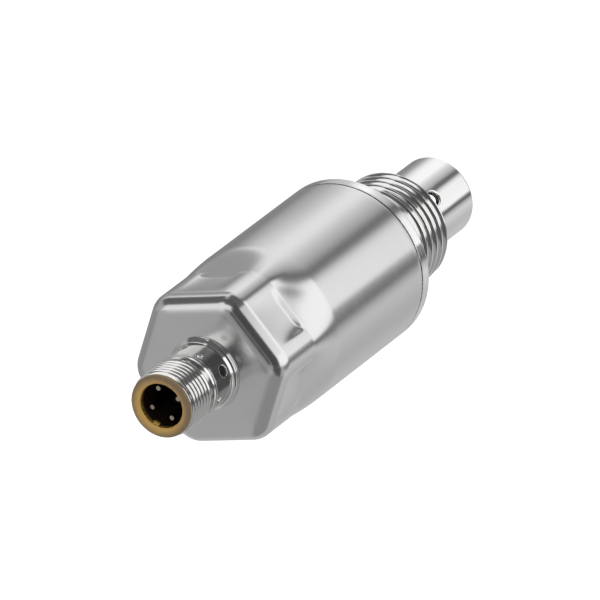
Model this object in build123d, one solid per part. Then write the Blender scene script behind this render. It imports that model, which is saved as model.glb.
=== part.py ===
from build123d import *
import os
from math import atan2, cos, degrees, radians, sin, tan

os.makedirs("parts", exist_ok=True)

# Oil moisture sensor in millimetres. Its axis is the row's Y axis: the plug socket points to -Y,
# the probe to +Y. A station is a distance along the axis from the socket's front rim,
# and the origin lies on the axis at the sealing face of the screw-in stud.

# Stations
RIM_BACK = 0.6
SLEEVE_CHAMFER_END = 1.15
THREAD_12_END = 7.1
RELIEF_END = 9.15
MARK_GROOVE_END = 9.3
FOOT_START = 14.2
FOOT_FULL = 15.0
FACE_PEAK = 15.2
FACE_RIM = 16.4
FLATS_END = 27.9
BARREL_START = 35.6
SEAM = 65.8
FLANGE_CHAMFER = 68.05
SEALING_FACE = 70.25
UNDERCUT_END = 73.4
STUD_END = 84.85
PROBE_END = 99.6

# Socket
RIM_RADIUS = 5.7
CAVITY_RADIUS = 4.03
CAVITY_FLOOR = 9.0
INSERT_RADIUS = 4.9
INSERT_END = 17.0
INSERT_EDGE = 0.3
INSERT_RING_STATION = 14.8
INSERT_RING_SINK = 0.4
INSERT_RING_GROOVE_HALF = 0.6
KEY_WIDTH = 1.2
KEY_DEPTH = 0.6
KEY_START = 0.8
KEY_ANGLE = 239
PIN_RADIUS = 0.5
PIN_DOME = 0.4
PIN_CIRCLE_RADIUS = 2.8
PIN_TIP = 1.5
PIN_TAIL = 21.4
PIN_TURN = 14
PIN_COUNT = 4
PIN_PITCH = 90

# Threaded sleeve of the socket
SLEEVE_RADIUS = 6.0
SLEEVE_FRONT_RADIUS = 5.45
SLEEVE_BORE = 4.95
RELIEF_RADIUS = 5.75
RELIEF_STEP_START = 8.6
RELIEF_STEP_RADIUS = 5.81
MARK_GROOVE_RADIUS = 5.6
NECK_RADIUS = 5.85
FOOT_RADIUS = 6.7
SLEEVE_END = 19.2
WINDOW_RADIUS = 1.0
WINDOW_STATION = 12.5
WINDOW_RECESS = 0.12
WINDOW_PLUG_HALF = 2.0
DIMPLE_RADIUS = 0.7
DIMPLE_DEPTH = 0.3
DIMPLE_HOLE_RADIUS = 0.25
DIMPLE_STATION = 10.4
NUT_ACROSS_FLATS = 16.0
NUT_THICKNESS = 2.0
SEAL_RADIUS = 7.6
SEAL_THICKNESS = 0.5

# Housing shell
WALL = 1.0
BARREL_RADIUS = 15.25
ACROSS_FLATS = 27.0
HEX_SIDES = 6
HEX_PITCH = 60
HEX_HALF_PITCH = HEX_PITCH / 2
HEX_CORNER_RADIUS = 4.0
SHOULDER_RADIUS = 2.0
FACE_RIM_RADIUS = 11.2
INNER_FLAT_RADIUS = 8.4

# Screw-in fitting and its sealing ring
SEAM_EDGE = 0.12
SPIGOT_START = 61.5
SPIGOT_CHAMFER = 0.8
FITTING_BORE = 5.6
COLLAR_RADIUS = 13.6
RING_GROOVE_RADIUS = 12.1
RING_GROOVE_STATION = 68.85
RING_RADIUS = 11.95
RING_PROUD = 0.12
RING_LIP = 0.35
UNDERCUT_RADIUS = 9.25
STUD_THREAD_RADIUS = 10.4775
STUD_CHAMFER = 0.8
TUBE_SEAT = 78.0

# Probe
TUBE_RADIUS = 7.35
TUBE_WALL = 1.0
TIP_WALL = 1.3
TIP_HOLE_RADIUS = 3.0
TIP_EDGE_RADIUS = 0.6
OIL_HOLE_RADIUS = 1.3
OIL_HOLE_STATION = 88.95
OIL_HOLE_COUNT = 4
OIL_HOLE_PITCH = 90
OIL_HOLE_TURN = 30
OIL_HOLE_EDGE = 0.2
HEADER_THICKNESS = 3.0
HEADER_RING_SECTION = 0.5
HEADER_RING_GROOVE_HALF = 0.7
GLASS_RADIUS = 0.5
LEAD_RADIUS = 0.25
LEAD_ROWS = ((1.3, 0.65), (-1.3, 0.65), (0.7, -0.65), (-0.7, -0.65))
LEAD_START = 74.8
LEAD_END = 84.4
CARRIER_RADIUS = 4.6
CARRIER_THICKNESS = 2.5
ELEMENT_THICKNESS = 0.5
ELEMENT_SEAT_DEPTH = 0.6
SOLDER_GAP = 0.05
HUMIDITY_SIZE = (4.2, 9.0)
TEMPERATURE_SIZE = (2.4, 6.0)

# Electronics
BOARD_THICKNESS = 0.8
BOARD_HALF_WIDTH = 11.0
BOARD_END = 60.5
TONGUE_HALF_WIDTH = 2.6
TONGUE_END = 77.0
CONTACT_BOARD_START = 20.2
CONTACT_BOARD_RADIUS = 6.4
HOLDER_THICKNESS = 3.0
HOLDER_BORE = 10.2
FRONT_HOLDER_START = 23.5
FRONT_HOLDER_RADIUS = 12.4
REAR_HOLDER_START = 56.0

# Components on the main board: place across the board, station, width, length, height, and board side
UPPER, LOWER = 1, -1
MICROCONTROLLER = (0, 36.0, 7.0, 7.0, 0.9, UPPER)
SIGNAL_CONVERTER = (0, 50.0, 5.0, 5.0, 0.9, UPPER)
CLOCK_CRYSTAL = (0, 43.0, 2.5, 3.2, 0.7, UPPER)
OUTPUT_DRIVER = (5.5, 37.0, 5.0, 4.0, 1.0, LOWER)
VOLTAGE_REGULATOR = (0, 46.0, 6.5, 3.5, 1.6, LOWER)
STORAGE_INDUCTOR = (-4.5, 37.0, 6.0, 6.0, 2.8, LOWER)
INDUCTOR_CUT_CORNER = 1.2
CAPACITOR_SIZE = (1.6, 3.2, 1.2)
CAPACITOR_ROWS = (-8.0, 8.0)
CAPACITOR_STATIONS = (30.0, 34.0, 38.0, 42.0)
DIODE_SIZE = (2.6, 4.2, 1.6)
DIODE_PLACES = (-5.0, 0.0, 5.0)
DIODE_STATION = 29.5

AXIAL_CLEAR = 0.2
OVERCUT = 1.0
THROUGH = 40.0


def along(station):
    """Y coordinate of a station."""
    return station - SEALING_FACE


def turned(*outline):
    """Solid of revolution about the sensor's axis from (radius, station) corners."""
    corners = [(radius, along(station)) for radius, station in outline]
    return revolve(make_face(Polyline(*corners, close=True)), Axis.Y)


def drum(radius, start, end):
    """Plain cylinder on the axis between two stations."""
    return turned((0, start), (radius, start), (radius, end), (0, end))


def sleeve(outer, inner, start, end):
    """Plain tube on the axis between two stations."""
    return turned((inner, start), (outer, start), (outer, end), (inner, end))


def rod(x, z, radius, start, end):
    """Thin cylinder parallel to the axis."""
    return Pos(x, 0, z) * drum(radius, start, end)


def slab(x_span, station_span, z_span):
    """Box between two limits on each axis."""
    size = Box(x_span[1] - x_span[0], station_span[1] - station_span[0], z_span[1] - z_span[0])
    centre = (sum(x_span) / 2, along(sum(station_span) / 2), sum(z_span) / 2)
    return Pos(*centre) * size


def across(station):
    """Plane square to the axis: its x is the row's X, its y is the row's Z."""
    return Plane(origin=(0, along(station), 0), x_dir=(1, 0, 0), z_dir=(0, -1, 0))


def radial(angle, station):
    """Plane on the axis whose normal points outwards at an angle from X towards Z."""
    turn = radians(angle)
    return Plane(origin=(0, along(station), 0), x_dir=(0, 1, 0), z_dir=(cos(turn), 0, sin(turn)))


def radial_drill(angle, station, radius, start, end):
    """Cylinder square to the axis, from one distance off the axis to another."""
    return radial(angle, station) * Pos(0, 0, (start + end) / 2) * Cylinder(radius, end - start)


def polar(radius, angle):
    """X and Z of a point at a distance from the axis and an angle from X towards Z."""
    return radius * cos(radians(angle)), radius * sin(radians(angle))


def ring_of(section_radius, centre_radius, station):
    """O-ring on the axis."""
    return revolve(Pos(centre_radius, along(station)) * Circle(section_radius), Axis.Y)


def hexagon_wire(station, across_flats, corner_radius):
    """Hexagon with a flat on top and below and rounded corners, as six lines and six arcs."""
    apothem = across_flats / 2
    half_flat = (apothem - corner_radius) * tan(radians(HEX_HALF_PITCH))
    reach = (apothem - corner_radius) / cos(radians(HEX_HALF_PITCH)) + corner_radius
    plane = across(station)
    edges = []
    for side in range(HEX_SIDES):
        normal = radians(HEX_HALF_PITCH + HEX_PITCH * side)
        corner = normal + radians(HEX_HALF_PITCH)
        first, last = ((apothem * cos(normal) - shift * sin(normal),
                        apothem * sin(normal) + shift * cos(normal)) for shift in (-half_flat, half_flat))
        middle = (reach * cos(corner), reach * sin(corner))
        following = normal + radians(HEX_PITCH)
        start_next = (apothem * cos(following) + half_flat * sin(following),
                      apothem * sin(following) - half_flat * cos(following))
        points = [plane.from_local_coords(point) for point in (first, last, middle, start_next)]
        edges.append(Edge.make_line(*points[0:2]))
        edges.append(Edge.make_three_point_arc(*points[1:4]))
    return Wire(edges)


def circle_wire(station, radius, split):
    """Circle cut into twelve arcs that face the sides and corners of the hexagon."""
    plane = across(station)
    edges = []
    for side in range(HEX_SIDES):
        normal = HEX_HALF_PITCH + HEX_PITCH * side
        corner = normal + HEX_HALF_PITCH
        stops = (normal - split, normal, normal + split, corner, normal + HEX_PITCH - split)
        points = [plane.from_local_coords(polar(radius, angle)) for angle in stops]
        edges.append(Edge.make_three_point_arc(*points[0:3]))
        edges.append(Edge.make_three_point_arc(*points[2:5]))
    return Wire(edges)


def housing_form(inset):
    """Outer form of the shell, or its hollow when inset by the wall: hexagon, run-out and barrel."""
    flats = ACROSS_FLATS - 2 * inset
    corner = HEX_CORNER_RADIUS - inset
    front = FACE_RIM + inset
    half_flat = (flats / 2 - corner) * tan(radians(HEX_HALF_PITCH))
    split = degrees(atan2(half_flat, flats / 2))
    barrel = BARREL_RADIUS - inset
    start_wire = hexagon_wire(front, flats, corner)
    prism = extrude(Face(start_wire), amount=FLATS_END - front, dir=(0, 1, 0))
    front_edges = prism.edges().filter_by_position(Axis.Y, along(front), along(front))
    prism = fillet(front_edges, SHOULDER_RADIUS - inset)
    run_out = Solid.make_loft([hexagon_wire(FLATS_END, flats, corner),
                               circle_wire(BARREL_START, barrel, split)], True)
    return prism + run_out + drum(barrel, BARREL_START, SEAM)


def housing_shell():
    """Formed steel shell: hexagonal end with a slightly coned face, blended into a round barrel."""
    cone = turned((0, FACE_PEAK), (FOOT_RADIUS, FACE_PEAK), (FACE_RIM_RADIUS, FACE_RIM), (0, FACE_RIM))
    hollow_cone = turned((0, FACE_PEAK + WALL), (INNER_FLAT_RADIUS, FACE_PEAK + WALL),
                         (FACE_RIM_RADIUS, FACE_RIM + WALL), (0, FACE_RIM + WALL))
    outside = housing_form(0) + cone
    hollow = housing_form(WALL) + hollow_cone
    return outside - hollow - drum(NECK_RADIUS, FACE_PEAK - WALL, FACE_RIM + 2 * WALL)


def connector_sleeve():
    """Threaded sleeve with a relief, a plain neck, a flared foot and a spigot through the shell."""
    body = turned((SLEEVE_BORE, RIM_BACK), (SLEEVE_FRONT_RADIUS, RIM_BACK),
                  (SLEEVE_RADIUS, SLEEVE_CHAMFER_END), (SLEEVE_RADIUS, THREAD_12_END),
                  (RELIEF_RADIUS, THREAD_12_END + AXIAL_CLEAR), (RELIEF_RADIUS, RELIEF_STEP_START),
                  (RELIEF_STEP_RADIUS, RELIEF_STEP_START), (RELIEF_STEP_RADIUS, RELIEF_END),
                  (MARK_GROOVE_RADIUS, RELIEF_END), (MARK_GROOVE_RADIUS, MARK_GROOVE_END),
                  (NECK_RADIUS, MARK_GROOVE_END), (NECK_RADIUS, FOOT_START),
                  (FOOT_RADIUS, FOOT_FULL), (FOOT_RADIUS, FACE_PEAK),
                  (NECK_RADIUS, FACE_PEAK), (NECK_RADIUS, SLEEVE_END), (SLEEVE_BORE, SLEEVE_END))
    for step in range(PIN_COUNT):
        window_angle = PIN_TURN + PIN_PITCH * step
        dimple_angle = window_angle + PIN_PITCH / 2
        body -= radial_drill(window_angle, WINDOW_STATION, WINDOW_RADIUS, 0, THROUGH)
        cup = Cone(DIMPLE_HOLE_RADIUS, DIMPLE_RADIUS, DIMPLE_DEPTH)
        body -= radial(dimple_angle, DIMPLE_STATION) * Pos(0, 0, NECK_RADIUS - DIMPLE_DEPTH / 2) * cup
    return body


def window_plugs():
    """Four dark plugs in the side openings of the sleeve's neck."""
    skin = sleeve(NECK_RADIUS - WINDOW_RECESS, SLEEVE_BORE, WINDOW_STATION - WINDOW_PLUG_HALF,
                  WINDOW_STATION + WINDOW_PLUG_HALF)
    drills = [radial_drill(PIN_TURN + PIN_PITCH * step, WINDOW_STATION, WINDOW_RADIUS, 0, THROUGH)
              for step in range(PIN_COUNT)]
    return Compound([(skin & drill).solid() for drill in drills])


def contact_insert():
    """Moulded insert: rim, keyed cavity, floor with four contact holes and a ring groove."""
    body = turned((0, CAVITY_FLOOR), (CAVITY_RADIUS, CAVITY_FLOOR), (CAVITY_RADIUS, INSERT_EDGE),
                  (CAVITY_RADIUS + INSERT_EDGE, 0), (RIM_RADIUS - INSERT_EDGE, 0), (RIM_RADIUS, INSERT_EDGE),
                  (RIM_RADIUS, RIM_BACK), (INSERT_RADIUS, RIM_BACK), (INSERT_RADIUS, INSERT_END),
                  (0, INSERT_END))
    blade = slab((CAVITY_RADIUS - KEY_DEPTH, CAVITY_RADIUS + INSERT_EDGE),
                 (KEY_START, CAVITY_FLOOR + INSERT_EDGE), (-KEY_WIDTH / 2, KEY_WIDTH / 2))
    body += Rot(0, -KEY_ANGLE, 0) * blade
    groove_start = INSERT_RING_STATION - INSERT_RING_GROOVE_HALF
    body -= sleeve(INSERT_RADIUS + OVERCUT, INSERT_RADIUS - 2 * INSERT_RING_SINK, groove_start,
                   groove_start + 2 * INSERT_RING_GROOVE_HALF)
    for step in range(PIN_COUNT):
        x, z = polar(PIN_CIRCLE_RADIUS, PIN_TURN + PIN_PITCH * step)
        body -= rod(x, z, PIN_RADIUS, CAVITY_FLOOR - OVERCUT, INSERT_END + OVERCUT)
    return body


def insert_o_ring():
    """Ring that seals the insert in the sleeve's bore."""
    section = (SLEEVE_BORE - INSERT_RADIUS + 2 * INSERT_RING_SINK) / 2
    return ring_of(section, SLEEVE_BORE - section, INSERT_RING_STATION)


def contact_pin(step):
    """Round contact with a domed tip, from the cavity to the contact board."""
    x, z = polar(PIN_CIRCLE_RADIUS, PIN_TURN + PIN_PITCH * step)
    pin = rod(x, z, PIN_RADIUS, PIN_TIP, PIN_TAIL)
    tip = pin.edges().filter_by_position(Axis.Y, along(PIN_TIP), along(PIN_TIP))
    return fillet(tip, PIN_DOME)


def sleeve_seal():
    """Flat seal under the nut."""
    start = FACE_PEAK + WALL
    return sleeve(SEAL_RADIUS, NECK_RADIUS, start, start + SEAL_THICKNESS)


def sleeve_nut():
    """Thin hexagon nut that holds the sleeve in the shell."""
    start = FACE_PEAK + WALL + SEAL_THICKNESS
    blank = extrude(across(start) * RegularPolygon(NUT_ACROSS_FLATS / 2, HEX_SIDES, major_radius=False),
                    amount=-NUT_THICKNESS)
    return blank - drum(NECK_RADIUS, start - OVERCUT, start + NUT_THICKNESS + OVERCUT)


def contact_board():
    """Round board on the contacts' tails."""
    board = drum(CONTACT_BOARD_RADIUS, CONTACT_BOARD_START, CONTACT_BOARD_START + BOARD_THICKNESS)
    for step in range(PIN_COUNT):
        x, z = polar(PIN_CIRCLE_RADIUS, PIN_TURN + PIN_PITCH * step)
        board -= rod(x, z, PIN_RADIUS, CONTACT_BOARD_START - OVERCUT, PIN_TAIL + OVERCUT)
    return board


def main_board():
    """Long board with a narrow tongue through the fitting, notched clear of the contacts' tails."""
    half = BOARD_THICKNESS / 2
    start = CONTACT_BOARD_START + BOARD_THICKNESS
    board = slab((-BOARD_HALF_WIDTH, BOARD_HALF_WIDTH), (start, BOARD_END), (-half, half))
    tongue = slab((-TONGUE_HALF_WIDTH, TONGUE_HALF_WIDTH), (BOARD_END, TONGUE_END), (-half, half))
    notch = PIN_CIRCLE_RADIUS + 2 * PIN_RADIUS
    clear = sleeve(notch, PIN_CIRCLE_RADIUS - 2 * PIN_RADIUS, start - OVERCUT, PIN_TAIL + AXIAL_CLEAR)
    return board + tongue - clear


def board_holder(start, radius):
    """Moulded ring with two slots for the board's edges."""
    ring = sleeve(radius, HOLDER_BORE, start, start + HOLDER_THICKNESS)
    slot = slab((-BOARD_HALF_WIDTH, BOARD_HALF_WIDTH), (start - OVERCUT, start + HOLDER_THICKNESS + OVERCUT),
                (-BOARD_THICKNESS / 2, BOARD_THICKNESS / 2))
    return ring - slot


def on_board(x, station, width, length, height, side):
    """Block component that stands on one face of the main board."""
    base = side * BOARD_THICKNESS / 2
    z_span = sorted((base, base + side * height))
    return slab((x - width / 2, x + width / 2), (station - length / 2, station + length / 2), z_span)


def ceramic_capacitors():
    """Eight small capacitors in two rows on the upper face."""
    spots = [(x, station) for x in CAPACITOR_ROWS for station in CAPACITOR_STATIONS]
    return Compound([on_board(x, station, *CAPACITOR_SIZE, UPPER).solid() for x, station in spots])


def surge_diodes():
    """Three protection diodes beside the contact board."""
    return Compound([on_board(x, DIODE_STATION, *DIODE_SIZE, LOWER).solid() for x in DIODE_PLACES])


def storage_inductor():
    """Shielded coil with cut corners on the lower face."""
    block = on_board(*STORAGE_INDUCTOR)
    return chamfer(block.edges().filter_by(Axis.Z), INDUCTOR_CUT_CORNER)


def process_fitting():
    """Turned screw-in fitting: spigot, flange, ring groove, undercut and threaded stud, bored through."""
    inner = BARREL_RADIUS - WALL
    tip_radius = STUD_THREAD_RADIUS - STUD_CHAMFER
    run_in = STUD_THREAD_RADIUS - UNDERCUT_RADIUS
    return turned((FITTING_BORE, SPIGOT_START), (inner - SPIGOT_CHAMFER, SPIGOT_START),
                  (inner, SPIGOT_START + SPIGOT_CHAMFER), (inner, SEAM), (BARREL_RADIUS - SEAM_EDGE, SEAM),
                  (BARREL_RADIUS, SEAM + SEAM_EDGE), (BARREL_RADIUS, FLANGE_CHAMFER),
                  (COLLAR_RADIUS, SEALING_FACE),
                  (RING_GROOVE_RADIUS, SEALING_FACE), (RING_GROOVE_RADIUS, RING_GROOVE_STATION),
                  (UNDERCUT_RADIUS, RING_GROOVE_STATION), (UNDERCUT_RADIUS, UNDERCUT_END),
                  (STUD_THREAD_RADIUS, UNDERCUT_END + run_in), (STUD_THREAD_RADIUS, STUD_END - STUD_CHAMFER),
                  (tip_radius, STUD_END), (TUBE_RADIUS, STUD_END), (TUBE_RADIUS, TUBE_SEAT),
                  (FITTING_BORE, TUBE_SEAT))


def sealing_ring():
    """Profiled rubber ring in the flange's groove, a little proud of the sealing face."""
    proud = SEALING_FACE + RING_PROUD
    return turned((UNDERCUT_RADIUS, RING_GROOVE_STATION), (RING_RADIUS, RING_GROOVE_STATION),
                  (RING_RADIUS, proud - RING_LIP), (RING_RADIUS - RING_LIP, proud),
                  (UNDERCUT_RADIUS + 2 * RING_LIP, proud), (UNDERCUT_RADIUS, proud - 2 * RING_LIP))


def probe_tube():
    """Protective tube with an open end face and a ring of cross holes for the oil."""
    bore = TUBE_RADIUS - TUBE_WALL
    tube = turned((bore, TUBE_SEAT), (TUBE_RADIUS, TUBE_SEAT), (TUBE_RADIUS, PROBE_END),
                  (TIP_HOLE_RADIUS, PROBE_END), (TIP_HOLE_RADIUS, PROBE_END - TIP_WALL),
                  (bore, PROBE_END - TIP_WALL))
    end_edges = tube.edges().filter_by_position(Axis.Y, along(PROBE_END), along(PROBE_END))
    tube = fillet(end_edges.sort_by(SortBy.LENGTH)[-1], TIP_EDGE_RADIUS)
    wide = OIL_HOLE_RADIUS + 2 * OIL_HOLE_EDGE
    countersink = Pos(0, 0, TUBE_RADIUS) * Cone(OIL_HOLE_RADIUS, wide, 2 * OIL_HOLE_EDGE)
    for step in range(OIL_HOLE_COUNT):
        angle = OIL_HOLE_TURN + OIL_HOLE_PITCH * step
        tube -= radial_drill(angle, OIL_HOLE_STATION, OIL_HOLE_RADIUS, 0, THROUGH)
        tube -= radial(angle, OIL_HOLE_STATION) * countersink
    return tube


def feedthrough_body():
    """Steel header with a ring groove and four glazed lead holes."""
    bore = TUBE_RADIUS - TUBE_WALL
    groove = bore - 2 * HEADER_RING_SECTION
    groove_start = TUBE_SEAT + HEADER_THICKNESS / 2 - HEADER_RING_GROOVE_HALF
    body = drum(bore, TUBE_SEAT, TUBE_SEAT + HEADER_THICKNESS)
    body -= sleeve(bore + OVERCUT, groove, groove_start, groove_start + 2 * HEADER_RING_GROOVE_HALF)
    for x, z in LEAD_ROWS:
        body -= rod(x, z, GLASS_RADIUS, TUBE_SEAT - OVERCUT, TUBE_SEAT + HEADER_THICKNESS + OVERCUT)
    return body


def feedthrough_glass():
    """Four glass beads round the leads."""
    bead = sleeve(GLASS_RADIUS, LEAD_RADIUS, TUBE_SEAT, TUBE_SEAT + HEADER_THICKNESS)
    return Compound([(Pos(x, 0, z) * bead).solid() for x, z in LEAD_ROWS])


def feedthrough_leads():
    """Four leads from the board's tongue to the sensing elements."""
    return Compound([rod(x, z, LEAD_RADIUS, LEAD_START, LEAD_END).solid() for x, z in LEAD_ROWS])


def header_o_ring():
    """Ring that seals the header in the tube."""
    centre = TUBE_RADIUS - TUBE_WALL - HEADER_RING_SECTION
    return ring_of(HEADER_RING_SECTION, centre, TUBE_SEAT + HEADER_THICKNESS / 2)


def element(size, side):
    """Thin ceramic plate that stands on the carrier, against its pair of leads."""
    width, length = size
    start = TUBE_SEAT + HEADER_THICKNESS + CARRIER_THICKNESS - ELEMENT_SEAT_DEPTH
    face = LEAD_ROWS[0][1] + LEAD_RADIUS + SOLDER_GAP
    z_span = sorted((side * face, side * (face + ELEMENT_THICKNESS)))
    return slab((-width / 2, width / 2), (start, start + ELEMENT_SEAT_DEPTH + length), z_span)


def humidity_element():
    """Capacitive moisture element."""
    return element(HUMIDITY_SIZE, 1)


def temperature_element():
    """Platinum temperature element."""
    return element(TEMPERATURE_SIZE, -1)


def element_carrier():
    """Ceramic disc with lead holes and a seat for each element."""
    start = TUBE_SEAT + HEADER_THICKNESS
    disc = drum(CARRIER_RADIUS, start, start + CARRIER_THICKNESS)
    for x, z in LEAD_ROWS:
        disc -= rod(x, z, LEAD_RADIUS, start - OVERCUT, LEAD_END + OVERCUT)
    return disc - humidity_element() - temperature_element()


nodes = {
    "housing_shell": housing_shell(),
    "process_fitting": process_fitting(),
    "sealing_ring": sealing_ring(),
    "probe_tube": probe_tube(),
    "feedthrough_body": feedthrough_body(),
    "feedthrough_glass": feedthrough_glass(),
    "feedthrough_leads": feedthrough_leads(),
    "header_o_ring": header_o_ring(),
    "element_carrier": element_carrier(),
    "humidity_element": humidity_element(),
    "temperature_element": temperature_element(),
    "main_board": main_board(),
    "microcontroller": on_board(*MICROCONTROLLER),
    "signal_converter": on_board(*SIGNAL_CONVERTER),
    "clock_crystal": on_board(*CLOCK_CRYSTAL),
    "output_driver": on_board(*OUTPUT_DRIVER),
    "voltage_regulator": on_board(*VOLTAGE_REGULATOR),
    "storage_inductor": storage_inductor(),
    "ceramic_capacitors": ceramic_capacitors(),
    "surge_diodes": surge_diodes(),
    "contact_board": contact_board(),
    "board_holder_front": board_holder(FRONT_HOLDER_START, FRONT_HOLDER_RADIUS),
    "board_holder_rear": board_holder(REAR_HOLDER_START, BARREL_RADIUS - WALL),
    "connector_sleeve": connector_sleeve(),
    "window_plugs": window_plugs(),
    "contact_insert": contact_insert(),
    "insert_o_ring": insert_o_ring(),
    "sleeve_seal": sleeve_seal(),
    "sleeve_nut": sleeve_nut(),
}
for step in range(PIN_COUNT):
    nodes[f"contact_pin_{step + 1}"] = contact_pin(step)

for name, part in nodes.items():
    part.label = name
    export_step(part, f"parts/{name}.step")
    print(f"{name:22s} {part.volume:10.2f} mm3")
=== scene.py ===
from math import atan, cos, pi, radians, sin, tan

import bpy
import numpy as np
from mathutils import Matrix, Vector


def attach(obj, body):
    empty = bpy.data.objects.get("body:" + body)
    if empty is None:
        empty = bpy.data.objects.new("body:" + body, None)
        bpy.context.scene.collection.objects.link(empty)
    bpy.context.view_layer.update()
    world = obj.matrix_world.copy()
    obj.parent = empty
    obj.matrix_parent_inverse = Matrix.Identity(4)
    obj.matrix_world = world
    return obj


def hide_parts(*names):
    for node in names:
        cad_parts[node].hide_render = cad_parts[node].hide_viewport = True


# Oil moisture sensor, dressed round its construction. Sizes are millimetres, as on the drawing, and MM turns
# them into the frame's metres. The axis is Y: the plug socket points to -Y and the probe to +Y. A station is
# the distance along the axis from the socket's front rim. A turn is an angle round the axis from X towards Z.
MM = 0.001

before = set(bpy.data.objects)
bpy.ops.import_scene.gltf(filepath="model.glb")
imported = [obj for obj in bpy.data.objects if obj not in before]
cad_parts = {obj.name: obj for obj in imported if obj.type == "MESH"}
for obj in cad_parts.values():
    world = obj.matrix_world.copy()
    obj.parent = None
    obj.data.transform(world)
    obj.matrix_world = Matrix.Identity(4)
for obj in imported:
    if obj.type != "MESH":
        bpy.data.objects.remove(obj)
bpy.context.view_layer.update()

# Stations
RIM_BACK = 0.6
SLEEVE_CHAMFER_END = 1.15
PLUG_THREAD_END = 7.1
RELIEF_STEP_START = 8.55
RELIEF_STEP_END = 8.7
RELIEF_END = 9.15
MARK_GROOVE_END = 9.3
GROOVE_ROWS = 9.0, 9.45
GROOVE_WALL = 0.04
NECK_END = 13.8
FOOT_START = 14.0
FOOT_FULL = 15.0
FACE_PEAK = 15.2
FACE_RIM = 16.4
FLATS_END = 27.9
BARREL_START = 35.6
SEAM = 65.8
FLANGE_CHAMFER = 68.05
SEALING_FACE = 70.25
UNDERCUT_END = 73.4
STUD_END = 84.85
PROBE_PLAIN_END = 95.0
PROBE_END = 99.6

# Socket
RIM_RADIUS = 5.7
CAVITY_RADIUS = 4.03
CAVITY_FLOOR = 9.0
INSERT_EDGE = 0.35
INSERT_RADIUS = 4.9
INSERT_END = 17.0
KEY_TURN = 239
KEY_WIDTH = 1.2
KEY_DEPTH = 0.6
KEY_START = 0.8
KEY_EDGE = 0.12
PIN_RADIUS = 0.5
PIN_CIRCLE_RADIUS = 2.8
PIN_TIP = 1.5
PIN_TAIL = 21.4
PIN_TURN = 14
PIN_COUNT = 4
PIN_TURNS = np.radians(PIN_TURN + 360 / PIN_COUNT * np.arange(PIN_COUNT))

# Threaded sleeve
SLEEVE_RADIUS = 6.0
SLEEVE_FRONT_RADIUS = 5.45
SLEEVE_BORE = 4.95
SLEEVE_END = 19.2
RELIEF_RADIUS = 5.75
RELIEF_STEP = 0.06
MARK_GROOVE_RADIUS = 5.6
NECK_RADIUS = 5.85
FOOT_RADIUS = 6.7
FOOT_FLARE = 0.6
FOOT_BEVEL = 0.08, 0.06
WINDOW_RADIUS = 1.0
WINDOW_STATION = 12.5
WINDOW_RECESS = 0.12
WINDOW_DEPTH = 0.4
WINDOW_EDGE = 0.08
WINDOW_DOME = 0.05
DIMPLE_RADIUS = 0.7
DIMPLE_STATION = 10.4
DIMPLE_DEPTH = 0.3
DIMPLE_POINT_RADIUS = 0.2
DIMPLE_EDGE = 0.12
PLUG_PITCH = 1.0
PLUG_THREAD_DEPTH = 0.58
PLUG_THREAD_RUN_OUT = 0.35
PLUG_FLANK = 0.22, 0.9
PLUG_FIRST_CREST = 1.4

# Housing shell
WALL = 1.0
BARREL_RADIUS = 15.25
FLAT_APOTHEM = 13.5
HEX_CORNER_RADIUS = 4.8
SHOULDER_RADIUS = 3.0
SHOULDER_END = 19.0
SHOULDER_FIRST_TILT = 12
IN_SHOULDER_RADIUS = 1.0
FACE_RIM_RADIUS = 11.2
FACE_STATION = 15.45
FACE_BORDER_STATION = 15.88
FACE_BORDER_APOTHEM = 10.25
FACE_BORDER_CORNER = 1.9
FLAT_DISH = 0.48
DISH_WIDE = 0.88
DISH_FADE = 0.82
RUN_OUT_POWER = 1.5
HEX_SIDES = 6
HALF_SIDE = radians(180 / HEX_SIDES)
# Turn of the flat that faces the camera
FLAT_TURN = radians(30)
# Rows beyond the face's border: what each adds to its apothem, corner radius and station
BORDER_ROLL = np.array([(0.3, 0.1, 0.05), (0.6, 0.3, 0.11)])
BARREL_ROWS = 36.1, 45, 55
# Rolled lip at the seam: depth below the barrel's surface and distance from the seam
SEAM_LIP = (0, 1.2), (0, 0.3), (0.02, 0.16), (0.07, 0.07), (0.16, 0.02), (0.4, 0), (WALL, 0)
NECK_GAP = 0.02

# Screw-in fitting, sealing ring and probe
FITTING_BORE = 5.6
SPIGOT_START = 61.5
SPIGOT_CHAMFER = 0.8
COLLAR_RADIUS = 13.6
SEAM_BEVEL = 0.16, 0.13
FITTING_EDGE = 0.12
RING_GROOVE_RADIUS = 12.1
RING_GROOVE_STATION = 68.85
RING_RADIUS = 11.95
RING_PROUD = 0.12
RING_LIP = 0.35
RING_EDGE = 0.08
UNDERCUT_RADIUS = 9.25
STUD_RADIUS = 10.4775
STUD_CHAMFER = 0.8
STUD_PITCH = 1.814
STUD_THREAD_DEPTH = 1.16
STUD_FLANK = 0.1, 0.93
STUD_FIRST_CREST = 76.8
STUD_RUN_IN = 1.4, 0.2
TUBE_SEAT = 78.0
TUBE_RADIUS = 7.35
TUBE_WALL = 1.0
TIP_WALL = 1.3
TIP_HOLE_RADIUS = 3.0
TIP_EDGE_RADIUS = 0.25
# Edge of the tip's hole: added radius and depth below the probe's end
TIP_LIP = (0.35, 0), (0.25, 0), (0.06, 0.06), (0, 0.25), (0, TIP_WALL)
OIL_HOLE_RADIUS = 1.3
OIL_HOLE_EDGE = 0.22
OIL_HOLE_STATION = 88.95
OIL_HOLE_COUNT = 4
OIL_HOLE_TURN = 30

# Shape helpers


def around_axis(radius, turn, along):
    """Points round the Y axis: (r cos turn, along, r sin turn)."""
    radius, turn, along = np.broadcast_arrays(radius, turn, along)
    return np.stack([radius * np.cos(turn), along, radius * np.sin(turn)], axis=-1)


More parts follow.
